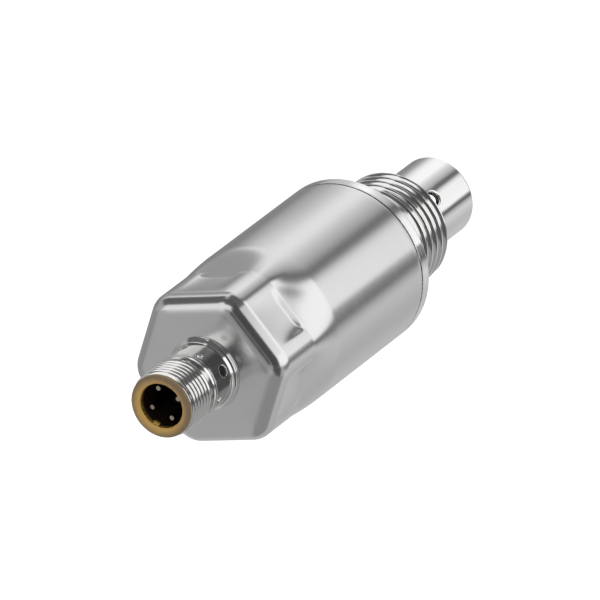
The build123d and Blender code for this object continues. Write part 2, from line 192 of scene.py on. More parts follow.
def place(radius, turn, station):
    """Points at a radius, a turn and a station, with station - sealing face as Y, in metres."""
    return around_axis(radius, turn, station - SEALING_FACE) * MM


def smooth(low, high, value):
    """Smooth step: with t = (value - low) / (high - low) kept between 0 and 1, the result is 3t² - 2t³."""
    t = np.clip((value - low) / (high - low), 0, 1)
    return t * t * (3 - 2 * t)


def softened(corners, edge, steps=4, closed=True):
    """Outline of (radius, station) corners with each corner C rounded. The bend runs from A to B, a distance
    edge before and after the corner, on the curve (1-t)² A + 2t(1-t) C + t² B. One more point beyond each end
    keeps the straight runs flat in the light."""
    most_of_run, guard = 0.3, 1.4
    corner = np.array(corners, float)
    before = np.roll(corner, 1, axis=0) - corner
    after = np.roll(corner, -1, axis=0) - corner
    run_before = np.hypot(*before.T)[:, None]
    run_after = np.hypot(*after.T)[:, None]
    reach = np.minimum(edge, most_of_run * np.minimum(run_before, run_after))
    to_a, to_b = (before / run_before * reach)[:, None], (after / run_after * reach)[:, None]
    c = corner[:, None]
    t = np.linspace(0, 1, steps + 1)[None, :, None]
    bend = (1 - t) ** 2 * (c + to_a) + 2 * t * (1 - t) * c + t ** 2 * (c + to_b)
    points = np.concatenate([c + guard * to_a, bend, c + guard * to_b], axis=1)
    if closed:
        return points.reshape(-1, 2)
    return np.concatenate([corner[:1], points[1:-1].reshape(-1, 2), corner[-1:]])


def faces_between(near, far):
    """Four-sided faces from rows of point numbers to the rows after them; the columns close round."""
    return np.stack([near, far, np.roll(far, -1, 1), np.roll(near, -1, 1)], axis=-1).reshape(-1, 4)


def fan(pole, row, opening):
    """Three-sided faces from a pole's number to a closed row, where the outline opens or where it ends."""
    tips, following = np.full(len(row), pole), np.roll(row, -1)
    return np.stack([tips, row, following] if opening else [tips, following, row], axis=-1)


def covered(grid, ring=True, poles=()):
    """Points, four-sided and three-sided faces over a grid: rows follow the outline, columns go round and
    close. A ring closes the outline on itself; otherwise a pole closes its start with a fan, and a second
    pole its end. Row direction crossed with column direction points outwards."""
    rows, columns = grid.shape[:2]
    index = np.arange(rows * columns).reshape(rows, columns)
    quads = faces_between(index, np.roll(index, -1, axis=0)) if ring else faces_between(index[:-1], index[1:])
    points = np.concatenate([grid.reshape(-1, 3), np.reshape(poles, (-1, 3))])
    ends = (index[0], True), (index[-1], False)
    fans = [fan(rows * columns + number, *ends[number]) for number in range(len(poles))]
    return points, quads, np.concatenate([NO_TRIANGLES, *fans])


def joined(parts):
    """Points and faces of several parts as one. A part's point numbers rise by the points before it."""
    before = np.cumsum([0] + [len(part[0]) for part in parts])
    return [np.concatenate([part[kind] + (before[at] if kind else 0) for at, part in enumerate(parts)])
            for kind in range(3)]


NO_TRIANGLES = np.empty((0, 3), int)


def mesh_object(name, points, quads, triangles=NO_TRIANGLES):
    """Object at the origin from arrays of points, four-sided and three-sided faces, shaded smooth."""
    corners = np.concatenate([quads.ravel(), triangles.ravel()]).astype(np.int32)
    sizes = np.concatenate([np.full(len(quads), 4), np.full(len(triangles), 3)])
    mesh = bpy.data.meshes.new(name)
    mesh.vertices.add(len(points))
    mesh.vertices.foreach_set("co", points.astype(np.float32).ravel())
    mesh.loops.add(len(corners))
    mesh.loops.foreach_set("vertex_index", corners)
    mesh.polygons.add(len(sizes))
    mesh.polygons.foreach_set("loop_start", (np.cumsum(sizes) - sizes).astype(np.int32))
    mesh.update(calc_edges=True)
    mesh.validate()
    mesh.shade_smooth()
    return linked(bpy.data.objects.new(name, mesh))


def linked(thing):
    """Puts a new object into the scene and gives it back."""
    bpy.context.scene.collection.objects.link(thing)
    return thing


def skin(name, grid, ring=True, poles=()):
    """Object covered by a grid."""
    return mesh_object(name, *covered(grid, ring, poles))


def round_turns(columns):
    """Even turns once round the axis."""
    return np.arange(columns) * 2 * pi / columns


def turned_from(turns, turn):
    """Turns measured from another turn, between -π and π."""
    return (turns - turn + pi) % (2 * pi) - pi


def carried_round(outline, turns):
    """Rows of points from an outline of (radius, station), with one column for each turn."""
    return place(outline[:, :1], turns, outline[:, 1:])


def end_poles(outline):
    """Both ends of an open outline, which lie on the axis."""
    return place(0.0, 0.0, outline[[0, -1], 1])


def ridge(station, turn, pitch, crest, low, high):
    """Height of a right-hand thread, 0 in the root and 1 on the crest. With u the turns since a crest,
    the triangle wave |2 frac(u) - 1| is cut between low and high and eased."""
    u = (station - crest) / pitch + turn / (2 * pi)
    wave = np.abs(2 * (u - np.floor(u)) - 1)
    return smooth(low, high, wave) * 0.5 + 0.5 * np.clip((wave - low) / (high - low), 0, 1)


def spread(start, *runs):
    """Stations from a start through runs of (end, count), each evenly spaced and without its end point."""
    starts = [start] + [end for end, _ in runs]
    return np.concatenate([np.linspace(a, b, count, endpoint=False) for a, (b, count) in zip(starts, runs)])


# Materials

FINE_RELIEF = 0.00001
MOULD_RELIEF = 0.00002
# Weld seam on the steel: station of its middle, then where the dark line and the coarse marks start and end
WELD_MIDDLE = SEAM + 0.02
WELD_LINE = 0.06, 0.17
WELD_MARKS = 1.2, 3.2
# Scales of the steel's patterns, in cells per metre
COARSE_MARKS = 2200, 60
CLOUD = 90, 40, 90
RIPPLE = 2600, 1200, 2600


def new_material(name):
    """Node material with a surface shader; gives the material, its node tree and the shader."""
    material = bpy.data.materials.new(name)
    material.use_nodes = True
    return material, material.node_tree, material.node_tree.nodes["Principled BSDF"]


def feed(tree, value, node, socket):
    """Leads a value into a node's socket."""
    tree.links.new(value, node.inputs[socket])


def fix(node, socket, value):
    """Sets a node's socket to a constant."""
    node.inputs[socket].default_value = value


def math_node(tree, operation, *values):
    """One arithmetic step on sockets or numbers."""
    step = tree.nodes.new("ShaderNodeMath")
    step.operation = operation
    for socket, value in enumerate(values):
        if isinstance(value, (int, float)):
            fix(step, socket, value)
        else:
            feed(tree, value, step, socket)
    return step.outputs[0]


def noise(tree, vector, detail=2.0, rough=0.5):
    """Noise value over a vector."""
    texture = tree.nodes.new("ShaderNodeTexNoise")
    for socket, value in (("Scale", 1.0), ("Detail", detail), ("Roughness", rough)):
        fix(texture, socket, value)
    feed(tree, vector, texture, "Vector")
    return texture.outputs["Fac"]


def object_place(tree):
    """Object coordinates, in metres."""
    return tree.nodes.new("ShaderNodeTexCoord").outputs["Object"]


def stretched(tree, *scale):
    """Object coordinates multiplied by one scale for all axes, or by one for each."""
    mapping = tree.nodes.new("ShaderNodeMapping")
    fix(mapping, "Scale", scale if len(scale) == 3 else scale * 3)
    feed(tree, object_place(tree), mapping, "Vector")
    return mapping.outputs["Vector"]


def parted(tree, vector):
    """X, Y and Z of a vector, by name."""
    parts = tree.nodes.new("ShaderNodeSeparateXYZ")
    feed(tree, vector, parts, 0)
    return parts.outputs


def axis_distance(tree, xyz):
    """Distance off the Y axis, √(x² + z²)."""
    x_square = math_node(tree, "MULTIPLY", xyz["X"], xyz["X"])
    return math_node(tree, "SQRT", math_node(tree, "MULTIPLY_ADD", xyz["Z"], xyz["Z"], x_square))


def off_axis(tree, along_scale, off_scale):
    """Vector whose parts are the distance off the Y axis and the place along it, each times its scale, so that
    a noise over it draws turning marks: rings on a barrel and circles on a face."""
    xyz = parted(tree, object_place(tree))
    join = tree.nodes.new("ShaderNodeCombineXYZ")
    feed(tree, math_node(tree, "MULTIPLY", axis_distance(tree, xyz), off_scale), join, "X")
    feed(tree, math_node(tree, "MULTIPLY", xyz["Y"], along_scale), join, "Y")
    return join.outputs[0]


def station_value(tree):
    """Station of a point in millimetres, from the Y of the object coordinates."""
    return math_node(tree, "MULTIPLY_ADD", parted(tree, object_place(tree))["Y"], 1 / MM, SEALING_FACE)


def ranged(tree, value, low, high, out_low, out_high, course="LINEAR"):
    """Value carried from one range to another."""
    change = tree.nodes.new("ShaderNodeMapRange")
    change.interpolation_type = course
    for socket, limit in (("From Min", low), ("From Max", high), ("To Min", out_low), ("To Max", out_high)):
        fix(change, socket, limit)
    feed(tree, value, change, "Value")
    return change.outputs["Result"]


def eased(tree, value, low, high):
    """Smooth fall from 1 at low to 0 at high."""
    return ranged(tree, value, low, high, 1, 0, "SMOOTHSTEP")


def tinted(tree, value, dark, light):
    """Colour between a dark and a light one by a value from 0 to 1."""
    ramp = tree.nodes.new("ShaderNodeValToRGB")
    for stop, colour in zip(ramp.color_ramp.elements, (dark, light)):
        stop.color = (*colour, 1)
    feed(tree, value, ramp, "Fac")
    return ramp.outputs["Color"]


def uneven_gloss(tree, shader, value, smoothest, roughest, low=0.2, high=0.8):
    """Roughness between two limits, by a noise value between low and high."""
    feed(tree, ranged(tree, value, low, high, smoothest, roughest), shader, "Roughness")


def bumped(tree, shader, height, strength, depth=FINE_RELIEF):
    """Fine relief on the shader from a height value; depth is in metres."""
    bump = tree.nodes.new("ShaderNodeBump")
    fix(bump, "Strength", strength)
    fix(bump, "Distance", depth)
    feed(tree, height, bump, "Height")
    feed(tree, bump.outputs["Normal"], shader, "Normal")


def steel(name, dark, light, smoothest, roughest, marks, grain, mark_strength):
    """Steel with turning marks round the axis, cloudy colour and uneven gloss. Beside the weld seam the marks
    are coarser, and the seam itself is a dark line broken by bright ripples."""
    material, tree, shader = new_material(name)
    fix(shader, "Metallic", 1.0)
    lines = noise(tree, off_axis(tree, marks, marks), 3.0, 0.6)
    coarse = noise(tree, off_axis(tree, *COARSE_MARKS))
    cloud = noise(tree, stretched(tree, *CLOUD), 3.0)
    speck = noise(tree, stretched(tree, grain))
    ripple = noise(tree, stretched(tree, *RIPPLE), 1.0)
    from_seam = math_node(tree, "ABSOLUTE", math_node(tree, "SUBTRACT", station_value(tree), WELD_MIDDLE))
    at_seam = eased(tree, from_seam, *WELD_LINE)
    near_seam = eased(tree, from_seam, *WELD_MARKS)
    groove = math_node(tree, "MULTIPLY", at_seam, ranged(tree, ripple, 0.45, 0.6, 0.92, 0.3))
    marked = math_node(tree, "MULTIPLY", near_seam, ranged(tree, coarse, 0.55, 0.7, 0, 0.12))
    tone = tree.nodes.new("ShaderNodeVectorMath")
    tone.operation = "SCALE"
    feed(tree, tinted(tree, cloud, dark, light), tone, 0)
    feed(tree, math_node(tree, "ADD", math_node(tree, "SUBTRACT", 1.0, groove), marked), tone, "Scale")
    feed(tree, tone.outputs[0], shader, "Base Color")
    uneven_gloss(tree, shader, lines, smoothest, roughest, 0.3, 0.7)
    height = math_node(tree, "MULTIPLY_ADD", speck, 0.5, lines)
    height = math_node(tree, "MULTIPLY_ADD", math_node(tree, "MULTIPLY", near_seam, coarse), 2.0, height)
    bumped(tree, shader, height, mark_strength)
    return material


def moulded(name, dark, light, roughness, grain, coat):
    """Moulded plastic, rubber or ceramic: cloudy colour and a fine grain."""
    material, tree, shader = new_material(name)
    fix(shader, "Coat Weight", coat)
    cloud = noise(tree, stretched(tree, 300), 3.0)
    skin_grain = noise(tree, stretched(tree, grain))
    feed(tree, tinted(tree, cloud, dark, light), shader, "Base Color")
    uneven_gloss(tree, shader, skin_grain, roughness * 0.8, roughness * 1.25)
    bumped(tree, shader, skin_grain, 0.4, MOULD_RELIEF)
    return material


def amber_plastic():
    """Amber plastic: the plastic's own colour, running from ochre at the inner edge to a greyer brown at the
    outer edge, with painted light passing through the thin inner edge, strongest away from the camera's side.
    Deeper than about a millimetre the colour falls to nearly black, painted shade inside the cavity."""
    material, tree, shader = new_material("amber_plastic")
    xyz = parted(tree, object_place(tree))
    # Ochre at the inner edge, greyer brown outwards: the amber's own tone with painted light at the thin inner
    # edge
    outward = ranged(tree, axis_distance(tree, xyz), 4.35 * MM, 5.5 * MM, 0, 1)
    cloud = noise(tree, stretched(tree, 500), 3.0)
    outward = math_node(tree, "MULTIPLY_ADD", cloud, 0.3, outward)
    # Painted light: the colour leans to ochre on the side away from the camera and to brown on the camera's
    # side
    painted_side_light = 0.4 / (RIM_RADIUS * MM)
    for axis, share in (("X", cos(FLAT_TURN)), ("Z", sin(FLAT_TURN))):
        outward = math_node(tree, "MULTIPLY_ADD", xyz[axis], painted_side_light * share, outward)
    rim = tinted(tree, outward, (0.44, 0.27, 0.07), (0.17, 0.12, 0.065))
    # Painted shade: with depth into the cavity the colour falls to nearly black; the same share lowers
    # subsurface and specular there
    outside = eased(tree, station_value(tree), 0.25, 1.3)
    shade = tree.nodes.new("ShaderNodeMix")
    shade.data_type = "RGBA"
    feed(tree, outside, shade, "Factor")
    painted_cavity_shade, rim_colour = (socket for socket in shade.inputs if socket.type == "RGBA")
    painted_cavity_shade.default_value = (0.010, 0.006, 0.005, 1)
    tree.links.new(rim, rim_colour)
    feed(tree, next(socket for socket in shade.outputs if socket.type == "RGBA"), shader, "Base Color")
    feed(tree, math_node(tree, "MULTIPLY", outside, 0.3), shader, "Subsurface Weight")
    fix(shader, "Subsurface Radius", (0.0012, 0.0006, 0.0002))
    feed(tree, math_node(tree, "MULTIPLY_ADD", outside, 0.4, 0.1), shader, "Specular IOR Level")
    uneven_gloss(tree, shader, cloud, 0.26, 0.38)
    bumped(tree, shader, cloud, 0.3)
    return material


def gold_contact():
    """Gilt contact: the tip keeps a gilt colour, and just behind the tip the colour falls to nearly black,
    painted shade of the dark cavity round the pin.
    """
    material, tree, shader = new_material("gold_contact")
    fix(shader, "Metallic", 1.0)
    # Painted shade: behind the tip the colour is nearly black
    behind = ranged(tree, station_value(tree), PIN_TIP, PIN_TIP + 0.02, 0, 1)
    grain = noise(tree, stretched(tree, 9000))
    feed(tree, tinted(tree, behind, (0.48, 0.42, 0.33), (0.04, 0.03, 0.02)), shader, "Base Color")
    uneven_gloss(tree, shader, grain, 0.25, 0.4)
    bumped(tree, shader, grain, 0.2)
    return material


def circuit_board():
    """Green solder mask over copper tracks: tracks from a grid of bricks, with uneven gloss and a fine relief.
    """
    material, tree, shader = new_material("circuit_board")
    tracks = tree.nodes.new("ShaderNodeTexBrick")
    for socket, value in (("Scale", 1.0), ("Mortar Size", 0.04), ("Color1", (0.02, 0.13, 0.05, 1)),
                          ("Color2", (0.025, 0.16, 0.06, 1)), ("Mortar", (0.06, 0.3, 0.11, 1))):
        fix(tracks, socket, value)
    feed(tree, stretched(tree, 700), tracks, "Vector")
    feed(tree, tracks.outputs["Color"], shader, "Base Color")
    uneven_gloss(tree, shader, noise(tree, stretched(tree, 2500)), 0.28, 0.45)
    bumped(tree, shader, tracks.outputs["Fac"], 0.4, 0.00003)
    return material


def lead_glass():
    """Fused glass bead with fine bubbles."""
    material, tree, shader = new_material("lead_glass")
    fix(shader, "Transmission Weight", 0.8)
    fix(shader, "IOR", 1.52)
    bubbles = noise(tree, stretched(tree, 4000))
    feed(tree, tinted(tree, bubbles, (0.12, 0.32, 0.28), (0.2, 0.45, 0.4)), shader, "Base Color")
    uneven_gloss(tree, shader, bubbles, 0.05, 0.15)
    bumped(tree, shader, bubbles, 0.3)
    return material


# Dark and light colour, smoothest and roughest gloss, scale of the turning marks and of the grain, and the
# strength of the marks
STEELS = {
    "satin_steel": ((0.64, 0.64, 0.64), (0.70, 0.70, 0.70), 0.16, 0.22, 9000, 7000, 0.12),
    "polished_steel": ((0.80, 0.80, 0.795), (0.85, 0.85, 0.845), 0.05, 0.09, 14000, 9000, 0.05),
    "plated_sleeve": ((0.80, 0.795, 0.785), (0.85, 0.845, 0.835), 0.05, 0.09, 12000, 9000, 0.06),
}
# Dark and light colour, roughness, scale of the grain, and gloss coat
MOULDINGS = {
    "smoked_plastic": ((0.010, 0.010, 0.011), (0.02, 0.02, 0.022), 0.08, 2000, 0.5),
    "seal_rubber": ((0.018, 0.018, 0.018), (0.035, 0.035, 0.035), 0.55, 6000, 0.0),
    "chip_plastic": ((0.02, 0.02, 0.02), (0.04, 0.04, 0.04), 0.5, 5000, 0.0),
    "holder_plastic": ((0.10, 0.10, 0.10), (0.14, 0.14, 0.14), 0.45, 4000, 0.0),
    "ceramic": ((0.82, 0.80, 0.74), (0.92, 0.90, 0.85), 0.6, 5000, 0.0),
}
FINISH = {name: steel(name, *values) for name, values in STEELS.items()}
FINISH.update({name: moulded(name, *values) for name, values in MOULDINGS.items()})
FINISH.update(gold_contact=gold_contact(), amber_plastic=amber_plastic(), circuit_board=circuit_board(),
              lead_glass=lead_glass())


def dress(piece, slot, *nodes):
    """Gives a new piece its finish and slot, lets it ride on the sensor and stand for its nodes."""
    piece.data.materials.append(FINISH[slot])
    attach(piece, "root")
    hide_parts(*nodes)
    return piece


# Housing shell

FLAT_COLUMNS = 40
CORNER_COLUMNS = 26


def hexagon_columns():
    """For each column round the hexagon: the turn of its side, its share of the flat from -1 to 1, and its
    share of the corner from 0 to 1. The corner share is -1 on a flat."""
    flat = np.linspace(-1, 1, FLAT_COLUMNS, endpoint=False)
    corner = np.linspace(0, 1, CORNER_COLUMNS, endpoint=False)
    side = np.repeat(np.arange(HEX_SIDES), FLAT_COLUMNS + CORNER_COLUMNS)
    on_flat = np.tile(np.concatenate([flat, np.ones(CORNER_COLUMNS)]), HEX_SIDES)
    on_corner = np.tile(np.concatenate([-np.ones(FLAT_COLUMNS), corner]), HEX_SIDES)
    return FLAT_TURN + 2 * HALF_SIDE * side, on_flat, on_corner


SIDE_TURN, ON_FLAT, ON_CORNER = hexagon_columns()
FLAT_HALF = (FLAT_APOTHEM - HEX_CORNER_RADIUS) * tan(HALF_SIDE)
FLAT_SPLIT = atan(FLAT_HALF / FLAT_APOTHEM)


def hexagon(apothem, corner):
    """Rounded hexagon as X and Z for each column. On a flat: apothem n + share h t, with n the side's normal,
    t its direction and h = (apothem - corner) tan 30°. On a corner: an arc of the corner radius round the
    point at (apothem - corner) / cos 30°. Apothem and corner are single numbers or columns of rows."""
    apothem, corner = np.atleast_1d(apothem)[:, None], np.atleast_1d(corner)[:, None]
    half = (apothem - corner) * tan(HALF_SIDE)
    flat_x = apothem * np.cos(SIDE_TURN) - ON_FLAT * half * np.sin(SIDE_TURN)
    flat_z = apothem * np.sin(SIDE_TURN) + ON_FLAT * half * np.cos(SIDE_TURN)
    corner_turn = SIDE_TURN + HALF_SIDE
    arc = SIDE_TURN + ON_CORNER * 2 * HALF_SIDE
    hub = (apothem - corner) / cos(HALF_SIDE)
    corner_x = hub * np.cos(corner_turn) + corner * np.cos(arc)
    corner_z = hub * np.sin(corner_turn) + corner * np.sin(arc)
    return np.where(ON_CORNER < 0, flat_x, corner_x), np.where(ON_CORNER < 0, flat_z, corner_z)


def circle(radius):
    """Circle as X and Z for each column, cut at the same shares as the hexagon."""
    turn = np.where(ON_CORNER < 0, SIDE_TURN + ON_FLAT * FLAT_SPLIT,
                    SIDE_TURN + FLAT_SPLIT + ON_CORNER * 2 * (HALF_SIDE - FLAT_SPLIT))
    radius = np.atleast_1d(radius)[:, None]
    return radius * np.cos(turn), radius * np.sin(turn)


def between(start, end, share):
    """X and Z between two outlines, (1 - share) start + share end, with one share for each row."""
    return [(1 - share) * a + share * b for a, b in zip(start, end)]


def stacked(x_z, stations):
    """Rows of points from X and Z outlines and one station a row, in metres."""
    x, z = x_z
    station = np.broadcast_to(np.atleast_1d(stations)[:, None], x.shape)
    return np.stack([x, station - SEALING_FACE, z], axis=-1) * MM


def shell_form(inset):
    """Rows from the face's edge to the barrel's start: shoulder arc, flats, and a run-out from the hexagon to
    the circle with share 1 - (1 - x)^1.5. Outside, each flat is dished by
    depth × (1 - (1 - t)^1.5) × (1 - (q / wide)^4) where that is above 0, with t the way along the flat from 0
    to 1 and q the share across it from -1 to 1. The dish rises again over the last part of the flat."""
    outside = inset == 0
    apothem, corner = FLAT_APOTHEM - inset, HEX_CORNER_RADIUS - inset
    shoulder = SHOULDER_RADIUS if outside else IN_SHOULDER_RADIUS
    shoulder_end = SHOULDER_END if outside else FACE_RIM + WALL + IN_SHOULDER_RADIUS
    tilt = np.radians(np.linspace(SHOULDER_FIRST_TILT if outside else 0, 90, 19))
    inward = shoulder * (1 - np.sin(tilt))
    shoulder_rows = stacked(hexagon(apothem - inward, corner - inward), shoulder_end - shoulder * np.cos(tilt))
    way = np.linspace(0, 1, 34)[1:-1, None]
    bowl = np.where(ON_CORNER < 0, np.clip(1 - (ON_FLAT / DISH_WIDE) ** 4, 0, None), 0)
    bowl = (FLAT_DISH if outside else 0) * bowl
    dish = bowl * (1 - (1 - way) ** RUN_OUT_POWER) * (1 - smooth(DISH_FADE, 1.0, way))
    flat_x, flat_z = hexagon(apothem, corner)
    flat_rows = stacked((flat_x - dish * np.cos(SIDE_TURN), flat_z - dish * np.sin(SIDE_TURN)),
                        shoulder_end + way[:, 0] * (FLATS_END - shoulder_end))
    way = np.concatenate([[0.0, 0.012], np.linspace(0.03, 1, 29)])
    share = (1 - (1 - way) ** RUN_OUT_POWER)[:, None]
    run_out = stacked(between(hexagon(apothem, corner), circle(BARREL_RADIUS - inset), share),
                      FLATS_END + way * (BARREL_START - FLATS_END))
    return np.concatenate([shoulder_rows, flat_rows, run_out])


def housing_shell():
    """Formed shell as one closed wall: slightly coned end face that turns from a circle into a hexagon, border,
    shoulder, flats, run-out, barrel with a rolled lip beside the weld, and the same way back inside."""
    share = np.array([0.0, 0.08, 0.2, 0.35, 0.5, 0.65, 0.8, 0.92, 1.0])[:, None]
    hub = stacked(circle(NECK_RADIUS + NECK_GAP), FACE_STATION)
    face = stacked(between(circle(FOOT_RADIUS), hexagon(FACE_BORDER_APOTHEM, FACE_BORDER_CORNER), share),
                   FACE_STATION + share[:, 0] * (FACE_BORDER_STATION - FACE_STATION))
    more_apothem, more_corner, further = BORDER_ROLL.T
    border = stacked(hexagon(FACE_BORDER_APOTHEM + more_apothem, FACE_BORDER_CORNER + more_corner),
                     FACE_BORDER_STATION + further)
    barrel = np.array([(0, station) for station in BARREL_ROWS] +
                      [(depth, SEAM - back) for depth, back in SEAM_LIP])
    barrel_rows = stacked(circle(BARREL_RADIUS - barrel[:, 0]), barrel[:, 1])
    in_face = stacked(circle(np.array([FACE_RIM_RADIUS, NECK_RADIUS + NECK_GAP])),
                      np.array([FACE_RIM, FACE_PEAK]) + WALL)
    grid = np.concatenate([hub, face, border, shell_form(0), barrel_rows, shell_form(WALL)[::-1], in_face])
    return dress(skin("housing_shell_formed", grid), "satin_steel", "housing_shell")


# Socket


def reach_on_neck(turns, stations, turn, station):
    """Distance over the neck's surface from the point at a turn and a station."""
    return np.hypot(stations - station, NECK_RADIUS * turned_from(turns, turn))


def connector_sleeve():
    """Threaded sleeve. Its outside radius is the least of an envelope and the thread, root + depth × ridge,
    less a cone with a drill point at each dimple and a flat-bottomed dent at each window."""
    turns = round_turns(420)
    seat = FACE_STATION + 0.05
    before_groove, behind_groove = GROOVE_ROWS
    bevel_long, bevel_in = FOOT_BEVEL
    stations = spread(RIM_BACK, (PLUG_THREAD_END, 104), (before_groove, 12), (behind_groove, 12),
                      (NECK_END, 56), (FOOT_FULL, 16), (FACE_PEAK, 5), (seat, 3))[:, None]
    envelope = np.interp(stations, *np.transpose([
        (RIM_BACK, SLEEVE_FRONT_RADIUS), (SLEEVE_CHAMFER_END, SLEEVE_RADIUS),
        (PLUG_THREAD_END - PLUG_THREAD_RUN_OUT, SLEEVE_RADIUS), (PLUG_THREAD_END, RELIEF_RADIUS),
        (RELIEF_STEP_START, RELIEF_RADIUS), (RELIEF_STEP_END, RELIEF_RADIUS + RELIEF_STEP),
        (RELIEF_END, RELIEF_RADIUS + RELIEF_STEP), (RELIEF_END + GROOVE_WALL, MARK_GROOVE_RADIUS),
        (MARK_GROOVE_END - GROOVE_WALL, MARK_GROOVE_RADIUS), (MARK_GROOVE_END + GROOVE_WALL / 2, NECK_RADIUS),
        (FOOT_FULL, NECK_RADIUS), (FOOT_FULL + bevel_long, FOOT_RADIUS - bevel_in), (FACE_PEAK, FOOT_RADIUS)]))
    flare = np.clip((stations - FOOT_START) / (FOOT_FULL - FOOT_START), 0, 1) * (stations <= FOOT_FULL)
    envelope = envelope + FOOT_FLARE * flare ** 2
    thread = SLEEVE_RADIUS - PLUG_THREAD_DEPTH + PLUG_THREAD_DEPTH * ridge(
        stations, turns, PLUG_PITCH, PLUG_FIRST_CREST, *PLUG_FLANK)
    in_thread = stations < PLUG_THREAD_END - 0.2
    radius = np.where(in_thread, np.minimum(envelope, thread), envelope)
    for turn in PIN_TURNS:
        window = reach_on_neck(turns, stations, turn, WINDOW_STATION)
        dimple = reach_on_neck(turns, stations, turn + pi / PIN_COUNT, DIMPLE_STATION)
        point = 1 - smooth(DIMPLE_POINT_RADIUS, DIMPLE_POINT_RADIUS + DIMPLE_EDGE, dimple)
        radius = radius - WINDOW_DEPTH * (1 - smooth(WINDOW_RADIUS, WINDOW_RADIUS + WINDOW_EDGE, window))
        radius = radius - DIMPLE_DEPTH * (np.clip(1 - dimple / DIMPLE_RADIUS, 0, 1) + point)
    hidden = np.array([(NECK_RADIUS, seat), (NECK_RADIUS, SLEEVE_END), (SLEEVE_BORE, SLEEVE_END),
                       (SLEEVE_BORE, RIM_BACK)])
    grid = np.concatenate([place(radius, turns, stations), carried_round(hidden, turns)])
    return dress(skin("connector_sleeve_turned", grid), "plated_sleeve", "connector_sleeve")


def window_plugs():
    """Four dark plugs. Each is a disc across the neck: at a distance d from its centre its face lies at
    √(skin² - across²) with a dome of height (1 - d²)."""
    columns = round_turns(48)
    share = np.array([0.25, 0.5, 0.75, 0.9, 0.97, 1.0, 1.0])[:, None]
    along = share * WINDOW_RADIUS * np.cos(columns)
    across = share * WINDOW_RADIUS * np.sin(columns)
    surface = NECK_RADIUS - WINDOW_RECESS
    out = np.sqrt(surface ** 2 - across ** 2) + WINDOW_DOME * (1 - share ** 2)
    out[-1] = SLEEVE_BORE
    parts = []
    for turn in PIN_TURNS:
        x = out * cos(turn) - across * sin(turn)
        z = out * sin(turn) + across * cos(turn)
        grid = np.stack([x, along + WINDOW_STATION - SEALING_FACE, z], axis=-1) * MM
        poles = place(np.array([surface + WINDOW_DOME, SLEEVE_BORE]), turn, WINDOW_STATION)
        parts.append(covered(grid, ring=False, poles=poles))
    return dress(mesh_object("window_plugs_domed", *joined(parts)), "smoked_plastic", "window_plugs")


def contact_insert():
    """Moulded insert: rounded rim, cavity with a key, floor. The cavity's radius is less by the key's depth
    within the key's width and behind its start."""
    outline = softened([(0, CAVITY_FLOOR), (CAVITY_RADIUS, CAVITY_FLOOR), (CAVITY_RADIUS, 0), (RIM_RADIUS, 0),
                        (RIM_RADIUS, RIM_BACK), (INSERT_RADIUS, RIM_BACK), (INSERT_RADIUS, INSERT_END),
                        (0, INSERT_END)], INSERT_EDGE, steps=8, closed=False)
    body = outline[1:-1]
    straight_within, wall_within, key_step = 0.02, 0.4, 0.06
    on_wall = (np.abs(body[:, 0] - CAVITY_RADIUS) < straight_within) & (body[:, 1] < CAVITY_FLOOR)
    key_end = [(CAVITY_RADIUS, KEY_START + key_step), (CAVITY_RADIUS, KEY_START)]
    body = np.insert(body, np.flatnonzero(on_wall)[-1], key_end, axis=0)
    radius, station = body[:, :1], body[:, 1:]
    turns = round_turns(288)
    from_key = CAVITY_RADIUS * np.abs(turned_from(turns, radians(KEY_TURN)))
    key = 1 - smooth(KEY_WIDTH / 2, KEY_WIDTH / 2 + KEY_EDGE, from_key)
    in_cavity = (np.abs(radius - CAVITY_RADIUS) < wall_within) & (station > KEY_START + key_step / 2)
    radius = radius - np.where(in_cavity, KEY_DEPTH, 0) * key
    piece = skin("contact_insert_moulded", place(radius, turns, station), ring=False, poles=end_poles(outline))
    return dress(piece, "amber_plastic", "contact_insert")


def contact_pins():
    """Four round contacts with domed tips, each a small outline carried round its own axis."""
    outline = softened([(0, PIN_TIP), (PIN_RADIUS, PIN_TIP), (PIN_RADIUS, PIN_TAIL), (0, PIN_TAIL)],
                       PIN_RADIUS * 0.6, steps=8, closed=False)
    grid = carried_round(outline[1:-1], round_turns(40))
    for number, turn in enumerate(PIN_TURNS, 1):
        middle = place(PIN_CIRCLE_RADIUS, turn, SEALING_FACE)
        pin = skin(f"contact_pin_{number}_turned", grid + middle, ring=False, poles=end_poles(outline) + middle)
        dress(pin, "gold_contact", f"contact_pin_{number}")


# Screw-in fitting, sealing ring and probe


